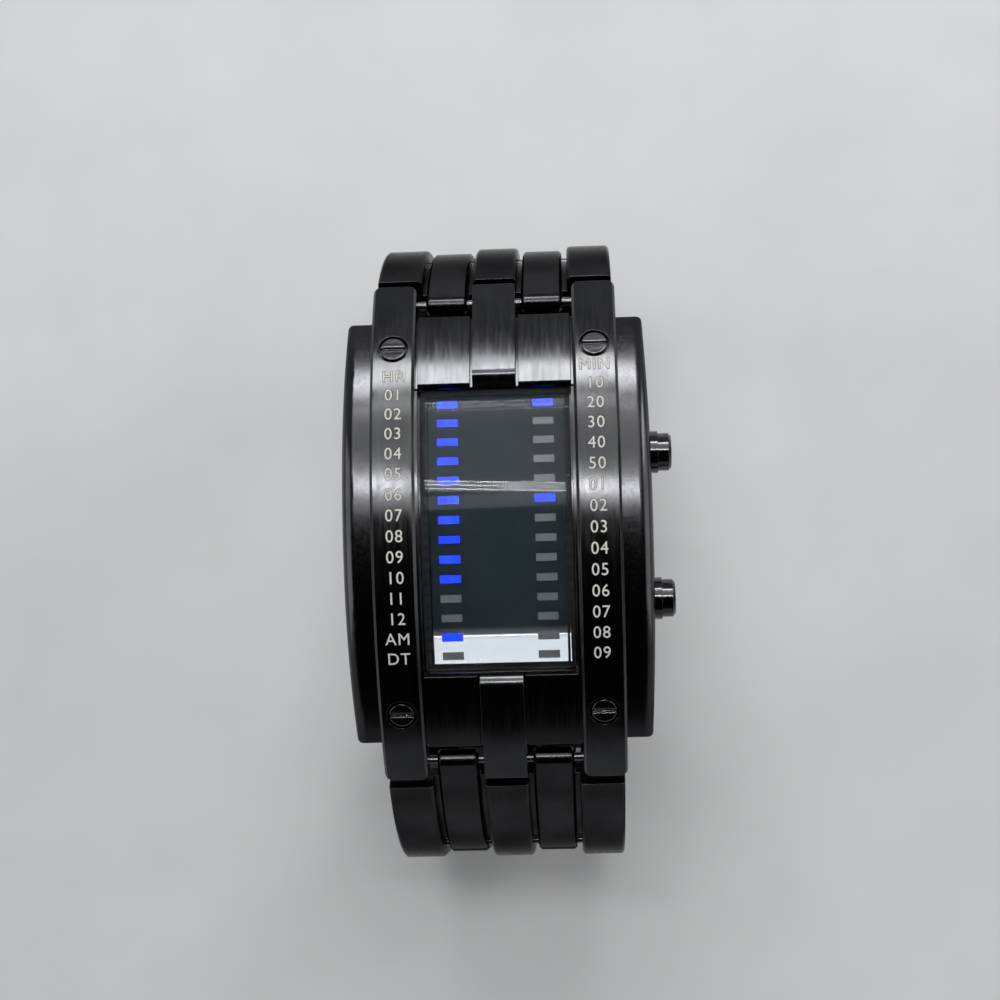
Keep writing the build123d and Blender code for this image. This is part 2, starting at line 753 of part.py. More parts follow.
def make_link(name, side, start, heading, number, last):
    """Five-column link: three raised columns reach its far pin, two low ones its near pin"""
    turn = math.radians(heading)
    pitch = first_link_pitch if number == 0 else link_pitch
    half_bend = math.radians(first_link_bend if number == 0 else link_bend) / 2
    pin_radius = pitch / 2 / math.sin(half_bend)
    centre = (pitch / 2, -pin_radius * math.cos(half_bend))
    inner = pin_radius - knuckle_radius
    top_a = pin_radius + column_a_above_pin
    top_b = pin_radius + column_b_above_pin
    seat = (knuckle_radius + link_gap) / pin_radius
    reach = knuckle_radius / pin_radius
    near_clear_radius = knuckle_radius + (first_link_gap if number == 0 else link_gap)
    near_seat = near_clear_radius / pin_radius
    far_pin = (pitch, 0)
    far_hole = spring_bar_diameter if last else pin_diameter
    far_clearance = pin_hole_clearance if last and side > 0 else 0
    clear_radius = knuckle_radius + link_gap
    plane = Plane(
        origin=(0, side * start[0], start[1]),
        x_dir=(0, side * math.cos(turn), -math.sin(turn)),
        z_dir=(side, 0, 0),
    )
    outer_columns = ((-half_bracelet, -outer_column_inner), (outer_column_inner, half_bracelet))
    centre_columns = ((-centre_column_width / 2, centre_column_width / 2),)
    side_columns = ((-tongue_half, -side_column_inner), (side_column_inner, tongue_half))
    with BuildPart() as link:
        # The web ties the five columns together below their tops
        with BuildSketch(plane):
            draw_band(inner, pin_radius - web_below_pin, near_seat - half_bend, half_bend - seat, centre)
            Circle(near_clear_radius, mode=Mode.SUBTRACT)
            with Locations(far_pin):
                Circle(clear_radius, mode=Mode.SUBTRACT)
        extrude(amount=half_bracelet, both=True)
        # High columns, which reach the far pin
        for low, high in centre_columns if last else outer_columns + centre_columns:
            with BuildSketch(plane.offset(low)):
                draw_band(pin_radius, top_a, near_seat - half_bend, half_bend + reach, centre)
                draw_band(inner, top_a, near_seat - half_bend, half_bend, centre)
                with Locations(far_pin):
                    Circle(knuckle_radius)
                Circle(near_clear_radius, mode=Mode.SUBTRACT)
            extrude(amount=high - low)
        # On a last link the outer columns stop short of the clasp's walls
        for low, high in outer_columns if last else ():
            with BuildSketch(plane.offset(low)):
                draw_band(inner, top_a, seat - half_bend, half_bend - seat, centre)
                with Locations((0, 0), far_pin):
                    Circle(clear_radius, mode=Mode.SUBTRACT)
            extrude(amount=high - low)
        # Low columns, which turn on the near pin and end in a full round
        for low, high in side_columns:
            with BuildSketch(plane.offset(low)):
                draw_band(pin_radius - column_b_above_pin, top_b, -half_bend, half_bend - seat, centre)
                Circle(column_b_above_pin)
                with Locations(far_pin):
                    Circle(clear_radius, mode=Mode.SUBTRACT)
            extrude(amount=high - low)
        for radius in (top_a, top_b):
            chamfer(long_edges(link, radius), column_bevel)
        if last:
            with BuildSketch(plane):
                draw_band(inner, top_b, seat - half_bend, half_bend, centre)
                with Locations(far_pin):
                    Circle(knuckle_radius)
                draw_band(
                    top_b, top_b + knuckle_radius, -half_bend, half_bend + 2 * reach, centre, Mode.SUBTRACT
                )
                Circle(clear_radius, mode=Mode.SUBTRACT)
            extrude(amount=tongue_half, both=True)
        with BuildSketch(plane):
            with Locations(far_pin):
                Circle(far_hole / 2 + far_clearance)
        extrude(amount=half_bracelet, both=True, mode=Mode.SUBTRACT)
        for low, high in side_columns:
            with BuildSketch(plane.offset(low)):
                Circle(pin_diameter / 2 + pin_hole_clearance)
            extrude(amount=high - low, mode=Mode.SUBTRACT)
        # Slots that let the inner leaf's ears swing out past the last link
        if last and side < 0:
            slot_width = blade_ear_width + 2 * blade_gap
            for x in (-tongue_half - slot_width, tongue_half):
                with BuildSketch(plane.offset(x)):
                    with Locations(far_pin):
                        Rectangle(2 * ear_slot_depth, ear_slot_height)
                extrude(amount=slot_width, mode=Mode.SUBTRACT)
    finish(link.part, name)


def make_bracelet():
    """Both half loops, link by link, with the pins that join them"""
    for prefix, side, headings in (("upper", 1, upper_headings), ("lower", -1, lower_headings)):
        places = walk_chain(headings)
        for number, heading in enumerate(headings):
            last = number == len(headings) - 1
            make_link(f"{prefix}_link_{number + 1}", side, places[number], heading, number, last)
            if not last:
                y, z = places[number + 1]
                pin = f"{prefix}_link_pin_{number + 1}"
                make_pin(pin, [(side * y, z)], half_bracelet - pin_end_inset)


def make_pin(name, places, half_length):
    """Straight round pins across the bracelet, at places along Y and Z"""
    with BuildPart() as pins:
        with BuildSketch(Plane.YZ):
            with Locations(*places):
                Circle(pin_diameter / 2)
        extrude(amount=half_length, both=True)
    finish(pins.part, name)


def add_leaf_top(start, flat_start, flat_end, end, edge, crest):
    """Line that runs flat in the middle and bends down to both ends"""
    TangentArc((flat_start, crest), (start, edge), tangent=(-1, 0))
    Line((flat_start, crest), (flat_end, crest))
    TangentArc((flat_end, crest), (end, edge), tangent=(1, 0))


def draw_arm(first, second, belly, thickness):
    """Gently arched strip between two points"""
    middle = ((first[0] + second[0]) / 2, (first[1] + second[1]) / 2 + belly)
    half = thickness / 2
    with BuildLine() as outline:
        ThreePointArc(
            (first[0], first[1] + half), (middle[0], middle[1] + half), (second[0], second[1] + half)
        )
        ThreePointArc(
            (first[0], first[1] - half), (middle[0], middle[1] - half), (second[0], second[1] - half)
        )
        Line((first[0], first[1] + half), (first[0], first[1] - half))
        Line((second[0], second[1] + half), (second[0], second[1] - half))
    make_face(outline.edges())


def make_stepped_pin(name, plane, place, steps):
    """Round bar across the clasp, thinner towards its tips where it has more steps"""
    with BuildPart() as bar:
        for radius, half_length in steps:
            with BuildSketch(plane):
                with Locations(place):
                    Circle(radius)
            extrude(amount=half_length, both=True)
    finish(bar.part, name)


def make_clasp():
    """Folding clasp: cover, middle blade and bottom blade with their pins and bars"""
    near = walk_chain(upper_headings)[-1]
    far = walk_chain(lower_headings)[-1]
    run = (-far[0] - near[0], far[1] - near[1])
    span = math.hypot(*run)
    plane = Plane(origin=(0, near[0], near[1]), x_dir=(0, run[0], run[1]), z_dir=(1, 0, 0))
    clear_radius = knuckle_radius + link_gap
    flat_start = (span - clasp_flat_length) / 2
    flat_end = flat_start + clasp_flat_length
    edge = column_a_above_pin
    crest = edge + clasp_belly
    cover_end = span - math.hypot(knuckle_radius, edge) - clasp_end_gap
    hinge_u = cover_end - blade_knuckle_radius
    cover_hinge = (hinge_u, cover_hinge_lift)
    fold_hinge = (fold_hinge_inset, -fold_hinge_drop)
    walls = ((-half_bracelet, -cover_inner_x), (cover_inner_x, half_bracelet))
    ear_x = tongue_half + blade_gap
    blade_pin_radius = blade_pin_diameter / 2
    tip_radius = spring_bar_tip_diameter / 2
    button_centre = (span / 2, 0)

    with BuildPart() as cover:
        with BuildSketch(plane):
            with BuildLine():
                add_leaf_top(clear_radius, flat_start, flat_end, hinge_u, edge, crest)
                Line((hinge_u, edge), (hinge_u, edge - clasp_wall))
                add_leaf_top(
                    clear_radius, flat_start, flat_end, hinge_u, edge - clasp_wall, crest - clasp_wall
                )
                Line((clear_radius, edge - clasp_wall), (clear_radius, edge))
            make_face()
        extrude(amount=half_bracelet, both=True)
        for low, high in walls:
            with BuildSketch(plane.offset(low)):
                with BuildLine():
                    add_leaf_top(clear_radius, flat_start, flat_end, hinge_u, edge, crest)
                    Line((hinge_u, edge), (hinge_u, -knuckle_radius))
                    Line((hinge_u, -knuckle_radius), (0, -knuckle_radius))
                    Line((0, -knuckle_radius), (0, knuckle_radius))
                    Line((0, knuckle_radius), (clear_radius, knuckle_radius))
                    Line((clear_radius, knuckle_radius), (clear_radius, edge))
                make_face()
                Circle(knuckle_radius)
                with Locations(cover_hinge):
                    Circle(blade_knuckle_radius)
            extrude(amount=high - low)
        # Notch for the middle blade's eye
        eye_clearance = blade_knuckle_radius + blade_gap
        with BuildSketch(plane):
            with Locations(cover_hinge):
                Rectangle(2 * eye_clearance, 2 * eye_clearance + clasp_wall)
        extrude(amount=middle_blade_width / 2 + blade_gap, both=True, mode=Mode.SUBTRACT)
        with BuildSketch(plane):
            with Locations(*[(index * adjust_hole_pitch, 0) for index in range(adjust_hole_count)]):
                Circle(tip_radius)
            with Locations(cover_hinge):
                Circle(blade_pin_radius)
        extrude(amount=half_bracelet, both=True, mode=Mode.SUBTRACT)
        with BuildSketch(plane):
            with Locations(button_centre):
                RectangleRounded(
                    release_button_length + 2 * release_button_fit,
                    release_button_height + 2 * release_button_fit,
                    release_button_height / 2,
                )
        extrude(amount=half_bracelet, both=True, mode=Mode.SUBTRACT)
    finish(cover.part, "clasp_cover")

    with BuildPart() as middle:
        with BuildSketch(plane):
            draw_arm(fold_hinge, cover_hinge, middle_blade_belly, blade_thickness)
            with Locations(fold_hinge, cover_hinge):
                Circle(blade_knuckle_radius)
        extrude(amount=middle_blade_width / 2, both=True)
        with BuildSketch(plane):
            with Locations(fold_hinge):
                Circle(blade_knuckle_radius)
        extrude(amount=bottom_blade_width / 2 - bottom_arm_width - blade_gap, both=True)
        with BuildSketch(plane):
            with Locations(fold_hinge, cover_hinge):
                Circle(blade_pin_radius + pin_hole_clearance)
        extrude(amount=half_bracelet, both=True, mode=Mode.SUBTRACT)
    finish(middle.part, "clasp_middle_blade")

    with BuildPart() as bottom:
        arms_x = (-bottom_blade_width / 2, bottom_blade_width / 2 - bottom_arm_width)
        for low in arms_x:
            with BuildSketch(plane.offset(low)):
                with Locations((fold_hinge_inset, -knuckle_radius)):
                    Rectangle(hinge_u - fold_hinge_inset, blade_thickness, align=(Align.MIN, Align.MIN))
                with Locations(fold_hinge):
                    Circle(blade_knuckle_radius)
            extrude(amount=bottom_arm_width)
        first_bar = fold_hinge_inset + bottom_bar_inset
        with BuildSketch(plane):
            with Locations((first_bar, -knuckle_radius), (first_bar + bottom_bar_spacing, -knuckle_radius)):
                Rectangle(bottom_bar_width, blade_thickness, align=(Align.MIN, Align.MIN))
        extrude(amount=bottom_blade_width / 2, both=True)
        for low in (-ear_x - blade_ear_width, ear_x):
            with BuildSketch(plane.offset(low)):
                with Locations((hinge_u - blade_ear_radius, -knuckle_radius)):
                    Rectangle(
                        span - hinge_u + blade_ear_radius, blade_thickness, align=(Align.MIN, Align.MIN)
                    )
                with Locations((span, 0)):
                    Circle(blade_ear_radius)
                    Circle(tip_radius, mode=Mode.SUBTRACT)
            extrude(amount=blade_ear_width)
        with BuildSketch(plane):
            with Locations(fold_hinge):
                Circle(blade_pin_radius)
        extrude(amount=half_bracelet, both=True, mode=Mode.SUBTRACT)
    finish(bottom.part, "clasp_bottom_blade")

    make_stepped_pin(
        "cover_hinge_pin", plane, cover_hinge, ((blade_pin_radius, half_bracelet - pin_end_inset),)
    )
    make_stepped_pin("fold_hinge_pin", plane, fold_hinge, ((blade_pin_radius, bottom_blade_width / 2),))
    make_stepped_pin(
        "upper_spring_bar",
        plane,
        (0, 0),
        (
            (spring_bar_diameter / 2, cover_inner_x - spring_bar_tip_gap),
            (tip_radius, half_bracelet - spring_bar_inset),
        ),
    )
    make_stepped_pin(
        "lower_spring_bar", plane, (span, 0), ((spring_bar_diameter / 2, ear_x - spring_bar_tip_gap),)
    )
    for name, side in (("left_release_button", -1), ("right_release_button", 1)):
        outer = half_bracelet + release_button_proud
        with BuildPart() as button:
            with BuildSketch(plane.offset(side * outer)):
                with Locations(button_centre):
                    RectangleRounded(
                        release_button_length,
                        release_button_height,
                        release_button_height / 2 - release_button_fit,
                    )
            extrude(amount=-side * (outer - release_flange_x))
            with BuildSketch(plane.offset(side * release_flange_x)):
                with Locations(button_centre):
                    Rectangle(
                        release_button_length + 2 * release_button_flange,
                        release_button_height + 2 * release_button_flange,
                    )
            extrude(amount=-side * release_button_inside)
            chamfer(
                button.faces().sort_by(Axis.X)[-1 if side > 0 else 0].edges(), release_button_fit
            )
        finish(button.part, name)


os.makedirs("parts", exist_ok=True)
make_case_middle()
make_rail("hour_rail", -1)
make_rail("minute_rail", 1)
make_rail_screws()
make_shield("left_shield", -1)
make_shield("right_shield", 1)
make_crystal()
make_crystal_gasket()
make_display()
make_holder()
make_movement()
make_back()
make_buttons()
make_pin("lug_pins", lug_pin_places, rail_span / 2 - pin_end_inset)
make_bracelet()
make_clasp()
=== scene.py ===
import math

import bmesh
import bpy
from mathutils import Matrix, Vector


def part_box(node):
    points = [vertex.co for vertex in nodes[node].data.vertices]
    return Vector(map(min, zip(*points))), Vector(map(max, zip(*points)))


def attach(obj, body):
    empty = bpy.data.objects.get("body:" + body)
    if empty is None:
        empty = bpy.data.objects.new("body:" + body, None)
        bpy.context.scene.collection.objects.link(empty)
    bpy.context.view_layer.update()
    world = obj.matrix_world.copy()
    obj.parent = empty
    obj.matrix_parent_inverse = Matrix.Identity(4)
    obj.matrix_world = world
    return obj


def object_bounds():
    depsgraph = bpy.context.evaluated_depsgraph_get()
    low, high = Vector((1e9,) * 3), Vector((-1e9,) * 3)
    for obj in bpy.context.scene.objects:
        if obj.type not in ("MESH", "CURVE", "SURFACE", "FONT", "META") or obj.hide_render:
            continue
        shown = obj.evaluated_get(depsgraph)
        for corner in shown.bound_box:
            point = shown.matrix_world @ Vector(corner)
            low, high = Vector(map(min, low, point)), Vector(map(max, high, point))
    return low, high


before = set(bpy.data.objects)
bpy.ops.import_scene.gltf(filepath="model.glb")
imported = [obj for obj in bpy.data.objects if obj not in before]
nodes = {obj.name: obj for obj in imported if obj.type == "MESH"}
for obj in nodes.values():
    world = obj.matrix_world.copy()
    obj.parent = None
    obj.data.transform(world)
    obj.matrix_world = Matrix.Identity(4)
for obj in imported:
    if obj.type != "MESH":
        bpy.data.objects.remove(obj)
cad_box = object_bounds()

MM = 0.001

# Case arc, as in the CAD, in millimetres
RAIL_TOP = 46.8
ARC_CENTRE = 11.0 - RAIL_TOP

# Noise scales of the metal, in waves per metre
DRIFT_SCALE = 180
SCRATCH_SCALE = 2600
SCRATCH_DEPTH = 0.00002
SKIN_DEPTH = 0.00003


def principled(name):
    """New material with its node tree, its shader and an object-space coordinate"""
    mat = bpy.data.materials.new(name)
    mat.use_nodes = True
    tree = mat.node_tree
    shader = tree.nodes["Principled BSDF"]
    coord = tree.nodes.new("ShaderNodeTexCoord")
    return mat, tree, shader, coord.outputs["Object"]


def noise(tree, source, scale, stretch=(1, 1, 1), detail=3.0):
    """Noise in object space, stretched along an axis where stretch is small"""
    mapping = tree.nodes.new("ShaderNodeMapping")
    mapping.inputs["Scale"].default_value = [scale * s for s in stretch]
    tree.links.new(source, mapping.inputs["Vector"])
    tex = tree.nodes.new("ShaderNodeTexNoise")
    tex.inputs["Scale"].default_value = 1.0
    tex.inputs["Detail"].default_value = detail
    tree.links.new(mapping.outputs["Vector"], tex.inputs["Vector"])
    return tex.outputs["Fac"]


def ranged(tree, source, low, high):
    """A 0 to 1 value brought to the range low to high"""
    ramp = tree.nodes.new("ShaderNodeMapRange")
    ramp.inputs["To Min"].default_value = low
    ramp.inputs["To Max"].default_value = high
    ramp.inputs["From Min"].default_value = 0.3
    ramp.inputs["From Max"].default_value = 0.7
    tree.links.new(source, ramp.inputs["Value"])
    return ramp.outputs["Result"]


def mixed(tree, factor, dark, light):
    """Colour between two by a 0 to 1 value"""
    mix = tree.nodes.new("ShaderNodeMix")
    mix.data_type = "RGBA"
    mix.inputs[6].default_value = (*dark, 1)
    mix.inputs[7].default_value = (*light, 1)
    tree.links.new(factor, mix.inputs[0])
    return mix.outputs[2]


def bump(tree, shader, height, strength, distance, edge=0.0):
    """Relief by a height value, over edges broken by a small radius in millimetres"""
    node = tree.nodes.new("ShaderNodeBump")
    if edge:
        broken = tree.nodes.new("ShaderNodeBevel")
        broken.samples = 6
        broken.inputs["Radius"].default_value = edge * MM
        tree.links.new(broken.outputs["Normal"], node.inputs["Normal"])
    node.inputs["Strength"].default_value = strength
    node.inputs["Distance"].default_value = distance
    tree.links.new(height, node.inputs["Height"])
    tree.links.new(node.outputs["Normal"], shader.inputs["Normal"])


def metal(
    name, dark, light, rough_low, rough_high, grain=(1, 1, 1), scratch=0.08, edge=0.0, rim=1.0
):
    """Polished or brushed metal with drifting tone and gloss, and fine scratches in the bump

    edge is the radius that breaks its edges, in millimetres, and rim its reflection at a
    grazing angle
    """
    mat, tree, shader, coord = principled(name)
    shader.inputs["Metallic"].default_value = 1.0
    shader.inputs["Specular Tint"].default_value = (rim, rim, rim, 1)
    wide = noise(tree, coord, DRIFT_SCALE, detail=4)
    fine = noise(tree, coord, SCRATCH_SCALE, grain, detail=2)
    tone = mixed(tree, ranged(tree, wide, 0, 1), dark, light)
    tree.links.new(tone, shader.inputs["Base Color"])
    tree.links.new(ranged(tree, fine, rough_low, rough_high), shader.inputs["Roughness"])
    bump(tree, shader, fine, scratch, SCRATCH_DEPTH, edge)
    return mat


def plastic(name, dark, light, rough_low, rough_high, scale=700, depth=0.15):
    """Moulded plastic or rubber with a fine skin"""
    mat, tree, shader, coord = principled(name)
    skin = noise(tree, coord, scale, detail=4)
    tone = mixed(tree, ranged(tree, skin, 0, 1), dark, light)
    tree.links.new(tone, shader.inputs["Base Color"])
    tree.links.new(ranged(tree, skin, rough_low, rough_high), shader.inputs["Roughness"])
    bump(tree, shader, skin, depth, SKIN_DEPTH)
    return mat


def glass(name, tint, ior):
    """Dark glass that the lamps shine through"""
    mat, tree, shader, coord = principled(name)
    haze = noise(tree, coord, 400)
    shader.inputs["Transmission Weight"].default_value = 1.0
    shader.inputs["IOR"].default_value = ior
    shader.inputs["Base Color"].default_value = (*tint, 1)
    tree.links.new(ranged(tree, haze, 0.022, 0.034), shader.inputs["Roughness"])
    return mat


def lamp(name, colour, strength, tint, window):
    """Lamp window: clear resin with an even glow, a little uneven from end to end; the faint glow
    given to unlit lamps is painted light
    """
    mat, tree, shader, coord = principled(name)
    glow = noise(tree, coord, 500)
    light = mixed(tree, ranged(tree, glow, 0, 1), colour, tint)
    tree.links.new(light, shader.inputs["Emission Color"])
    shader.inputs["Emission Strength"].default_value = strength
    shader.inputs["Base Color"].default_value = (*window, 1)
    shader.inputs["Roughness"].default_value = 0.3
    return mat


def mirror_film(name, dark, silver, bare_from, bare_to, lean):
    """Dark film whose lower end is bare and leans forward, so that it mirrors the light above

    It is dark down to bare_from and bare past bare_to, both along Y in metres, and lean is
    in degrees
    """
    mat, tree, shader, coord = principled(name)
    split = tree.nodes.new("ShaderNodeSeparateXYZ")
    tree.links.new(coord, split.inputs[0])
    bare = tree.nodes.new("ShaderNodeMapRange")
    bare.interpolation_type = "SMOOTHSTEP"
    bare.inputs["From Min"].default_value = bare_from
    bare.inputs["From Max"].default_value = bare_to
    tree.links.new(split.outputs["Y"], bare.inputs["Value"])
    cloud = noise(tree, coord, 250)
    plain = mixed(tree, ranged(tree, cloud, 0, 1), dark, tuple(1.15 * c for c in dark))
    mix = tree.nodes.new("ShaderNodeMix")
    mix.data_type = "RGBA"
    mix.inputs[7].default_value = (*silver, 1)
    tree.links.new(bare.outputs["Result"], mix.inputs[0])
    tree.links.new(plain, mix.inputs[6])
    tree.links.new(mix.outputs[2], shader.inputs["Base Color"])
    tree.links.new(bare.outputs["Result"], shader.inputs["Metallic"])
    shader.inputs["Roughness"].default_value = 0.12
    shader.inputs["Specular IOR Level"].default_value = 0.1
    geometry = tree.nodes.new("ShaderNodeNewGeometry")
    turn = tree.nodes.new("ShaderNodeVectorRotate")
    turn.rotation_type = "X_AXIS"
    angle = tree.nodes.new("ShaderNodeMath")
    angle.operation = "MULTIPLY"
    angle.inputs[1].default_value = math.radians(-lean)
    tree.links.new(bare.outputs["Result"], angle.inputs[0])
    tree.links.new(geometry.outputs["Normal"], turn.inputs["Vector"])
    tree.links.new(angle.outputs[0], turn.inputs["Angle"])
    tree.links.new(turn.outputs[0], shader.inputs["Normal"])
    return mat


# Brushing along and across the case
ALONG = (1, 0.10, 0.10)
ACROSS = (0.10, 1, 1)
EVEN = (1, 1, 1)

black_steel = metal(
    "black_steel", (0.062, 0.063, 0.066), (0.090, 0.091, 0.095), 0.13, 0.21, ALONG, 0.08, 0.1
)
polished_steel = metal(
    "polished_steel", (0.062, 0.063, 0.066), (0.09, 0.09, 0.095), 0.08, 0.15, EVEN, 0.12, 0.1
)
shield_steel = metal(
    "shield_steel", (0.062, 0.063, 0.066), (0.09, 0.09, 0.095), 0.15, 0.22, EVEN, 0.04, 0.1
)
# Links: the case's finish, made darker and with a weaker grazing reflection; this darker tone and
# weaker rim are painted shade
link_steel_painted_shade = metal(
    "link_steel_painted_shade", (0.040, 0.0405, 0.042), (0.058, 0.0585, 0.061), 0.15, 0.24, ALONG, 0.08, 0.2, 0.4
)
# Screws: the case's steel given a lighter tone so that rims and slots catch brighter highlights;
# this lighter tone is painted highlight
screw_steel = metal(
    "screw_steel", (0.11, 0.11, 0.115), (0.17, 0.17, 0.175), 0.10, 0.18, ACROSS, 0.08, 0.18
)
pin_steel = metal("pin_steel", (0.13, 0.13, 0.135), (0.20, 0.20, 0.205), 0.22, 0.34)
back_steel = metal(
    "back_steel", (0.16, 0.16, 0.17), (0.22, 0.22, 0.23), 0.22, 0.36, ACROSS, 0.15
)
cell_steel = metal("cell_steel", (0.55, 0.55, 0.54), (0.66, 0.66, 0.65), 0.2, 0.3, EVEN, 0.12)
brass = metal("brass", (0.60, 0.44, 0.18), (0.70, 0.53, 0.25), 0.24, 0.36)
rubber = plastic("rubber", (0.012, 0.012, 0.013), (0.022, 0.022, 0.024), 0.55, 0.75)
holder_plastic = plastic(
    "holder_plastic", (0.05, 0.052, 0.055), (0.075, 0.077, 0.08), 0.45, 0.6
)
switch_plastic = plastic("switch_plastic", (0.60, 0.57, 0.50), (0.68, 0.65, 0.58), 0.45, 0.6)
board_green = plastic(
    "board_green", (0.012, 0.075, 0.035), (0.02, 0.10, 0.05), 0.3, 0.45, 900, 0.1
)
chip_black = plastic(
    "chip_black", (0.015, 0.015, 0.016), (0.03, 0.03, 0.031), 0.4, 0.55, 1800, 0.2
)
amber_film = plastic(
    "amber_film", (0.45, 0.20, 0.04), (0.55, 0.26, 0.07), 0.25, 0.4, 300, 0.05
)
mask_film = mirror_film(
    "mask_film", (0.05, 0.068, 0.076), (0.92, 0.94, 0.95), -0.0108, -0.0124, 33
)
display_glass = glass("display_glass", (0.76, 0.79, 0.81), 1.23)
lamp_lit = lamp("lamp_lit", (0.006, 0.028, 1.0), 1.9, (0.012, 0.06, 1.0), (0.03, 0.04, 0.3))
# Unlit lamps keep a faint grey glow: painted light, as these lamps are off
off_lamp_painted_glow = lamp("off_lamp_painted_glow", (0.30, 0.31, 0.32), 0.12, (0.36, 0.37, 0.38), (0.30, 0.31, 0.32))


def give(node, material):
    """The node shows this material on all its faces"""
    mesh = nodes[node].data
    mesh.materials.clear()
    mesh.materials.append(material)
    for polygon in mesh.polygons:
        polygon.material_index = 0


# Materials by words in the nodes' names, where a later row wins
FINISHES = (
    ("", black_steel),
    ("link", link_steel_painted_shade),
    ("shield", shield_steel),
    ("button", polished_steel),
    ("screws", screw_steel),
    ("pin", pin_steel),
    ("spring_bar", pin_steel),
    ("clip", pin_steel),
    ("gasket", rubber),
    ("seals", rubber),
    ("case_back", back_steel),
    ("case_back_gasket", rubber),
    ("case_back_screws", screw_steel),
    ("blade", back_steel),
    ("coin_cells", cell_steel),
    ("battery_contact", brass),
    ("battery_insulator", amber_film),
    ("module_holder", holder_plastic),
    ("push_switches", switch_plastic),
    ("board", board_green),
    ("chip", chip_black),
    ("display_mask", mask_film),
)
for word, material in FINISHES:
    for node in nodes:
        if word in node:
            give(node, material)
give("crystal", display_glass)

# Rows of the two lamp columns that are lit, counted from 12 o'clock
LIT = {"hour_lamps": (1, 2, 3, 4, 5, 6, 7, 8, 9, 10, 13), "minute_lamps": (1, 6)}
LAMP_COUNT = 14


def light_lamps(node, rows):
    """Each lamp is its own solid, so its faces are told apart by their place along Y"""
    mesh = nodes[node].data
    mesh.materials.clear()
    mesh.materials.append(off_lamp_painted_glow)
    mesh.materials.append(lamp_lit)
    low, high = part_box(node)
    pitch = (high[1] - low[1]) / LAMP_COUNT
    for polygon in mesh.polygons:
        row = int((high[1] - polygon.center.y) / pitch) + 1
        polygon.material_index = 1 if row in rows else 0


for node, rows in LIT.items():
    light_lamps(node, rows)


# Etched figures on the rails, generic hour and minute marks: place across the case in
# millimetres, the first figure's angle on the arc and the step between figures in degrees
FIGURES = {
    "hour_figures": (-11.35, 21.9, 2.841, (
        "HR", "01", "02", "03", "04", "05", "06", "07", "08", "09", "10", "11", "12", "AM", "DT",
    )),
    "minute_figures": (11.38, 22.95, 2.897, (
        "MIN", "10", "20", "30", "40", "50", "01", "02", "03", "04", "05", "06", "07", "08", "09",
    )),
}
FIGURE_HEIGHT = 1.95
FIGURE_WIDTH = 0.96
FIGURE_PROUD = 0.012
FIGURE_EDGE = 0.06


def figure_points(word):
    """Flat mesh of a word, centred, in millimetres"""
    curve = bpy.data.curves.new("word", "FONT")
    curve.body = word
    curve.size = FIGURE_HEIGHT
    curve.align_x = "CENTER"
    curve.align_y = "CENTER"
    curve.space_character = 1.12
    curve.resolution_u = 4
    holder = bpy.data.objects.new("word", curve)
    bpy.context.scene.collection.objects.link(holder)
    graph = bpy.context.evaluated_depsgraph_get()
    flat = bpy.data.meshes.new_from_object(holder.evaluated_get(graph))
    bpy.data.objects.remove(holder)
    return flat


def edge_figures(mesh):
    """The dark wall of the etching, a thin band round each figure"""
    flat = bmesh.new()
    flat.from_mesh(mesh)
    bmesh.ops.remove_doubles(flat, verts=flat.verts, dist=1e-4)
    rim = [edge for edge in flat.edges if edge.is_boundary]
    outward = {}
    for edge in rim:
        start, end = (vertex.co for vertex in edge.verts)
        run = (end - start).normalized()
        side = Vector((run.y, -run.x, 0))
        if side.dot(edge.link_faces[0].calc_center_median() - start) > 0:
            side.negate()
        for vertex in edge.verts:
            outward.setdefault(vertex, []).append(side)
    outer = {}
    for vertex, sides in outward.items():
        mean = sum(sides, Vector()) / len(sides)
        reach = FIGURE_EDGE / max(mean.length_squared, 0.5)
        outer[vertex] = flat.verts.new(vertex.co + mean * reach)
    for edge in rim:
        start, end = edge.verts
        face = flat.faces.new((start, end, outer[end], outer[start]))
        face.material_index = 1
        face.normal_update()
        if face.normal.z < 0:
            face.normal_flip()
    flat.to_mesh(mesh)
    flat.free()


def bend_figures(name, x, first, pitch, words, materials):
    """Words in a column, laid on the rails' arc"""
    target = bmesh.new()
    for row, word in enumerate(words):
        flat = figure_points(word)
        edge_figures(flat)
        start = len(target.verts)
        target.from_mesh(flat)
        target.verts.ensure_lookup_table()
        middle = math.radians(first - row * pitch)
        for vertex in target.verts[start:]:
            angle = middle + vertex.co.y / RAIL_TOP
            reach = RAIL_TOP + FIGURE_PROUD
            vertex.co = Vector((
                (x + vertex.co.x * FIGURE_WIDTH) * MM,
                reach * math.sin(angle) * MM,
                (ARC_CENTRE + reach * math.cos(angle)) * MM,
            ))
        bpy.data.meshes.remove(flat)
    mesh = bpy.data.meshes.new(name)
    target.to_mesh(mesh)
    target.free()
    for material in materials:
        mesh.materials.append(material)
    piece = bpy.data.objects.new(name, mesh)
    bpy.context.scene.collection.objects.link(piece)
    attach(piece, "case")
    return piece


etched = plastic("etched", (0.62, 0.60, 0.55), (0.74, 0.72, 0.67), 0.5, 0.7, 3000, 0.05)
etched_wall = plastic(
    "etched_wall", (0.010, 0.010, 0.011), (0.018, 0.018, 0.019), 0.5, 0.7, 3000, 0.05
)
for name, (x, first, pitch, words) in FIGURES.items():
    bend_figures(name, x, first, pitch, words, (etched, etched_wall))


# Camera, fitted to the photograph: turn of the watch in degrees, shift and distance in
# millimetres, focal length in pixels of the photograph
CAMERA_TURN = (-2.11, -2.45, 1.5)
CAMERA_PIVOT = (0, 0, 8)
CAMERA_SHIFT = (-0.3, -3.21, 0)
CAMERA_DISTANCE = 202.69
FOCAL_PIXELS = 1806.9
FRAME_PIXELS = 1000
SENSOR_WIDTH = 36


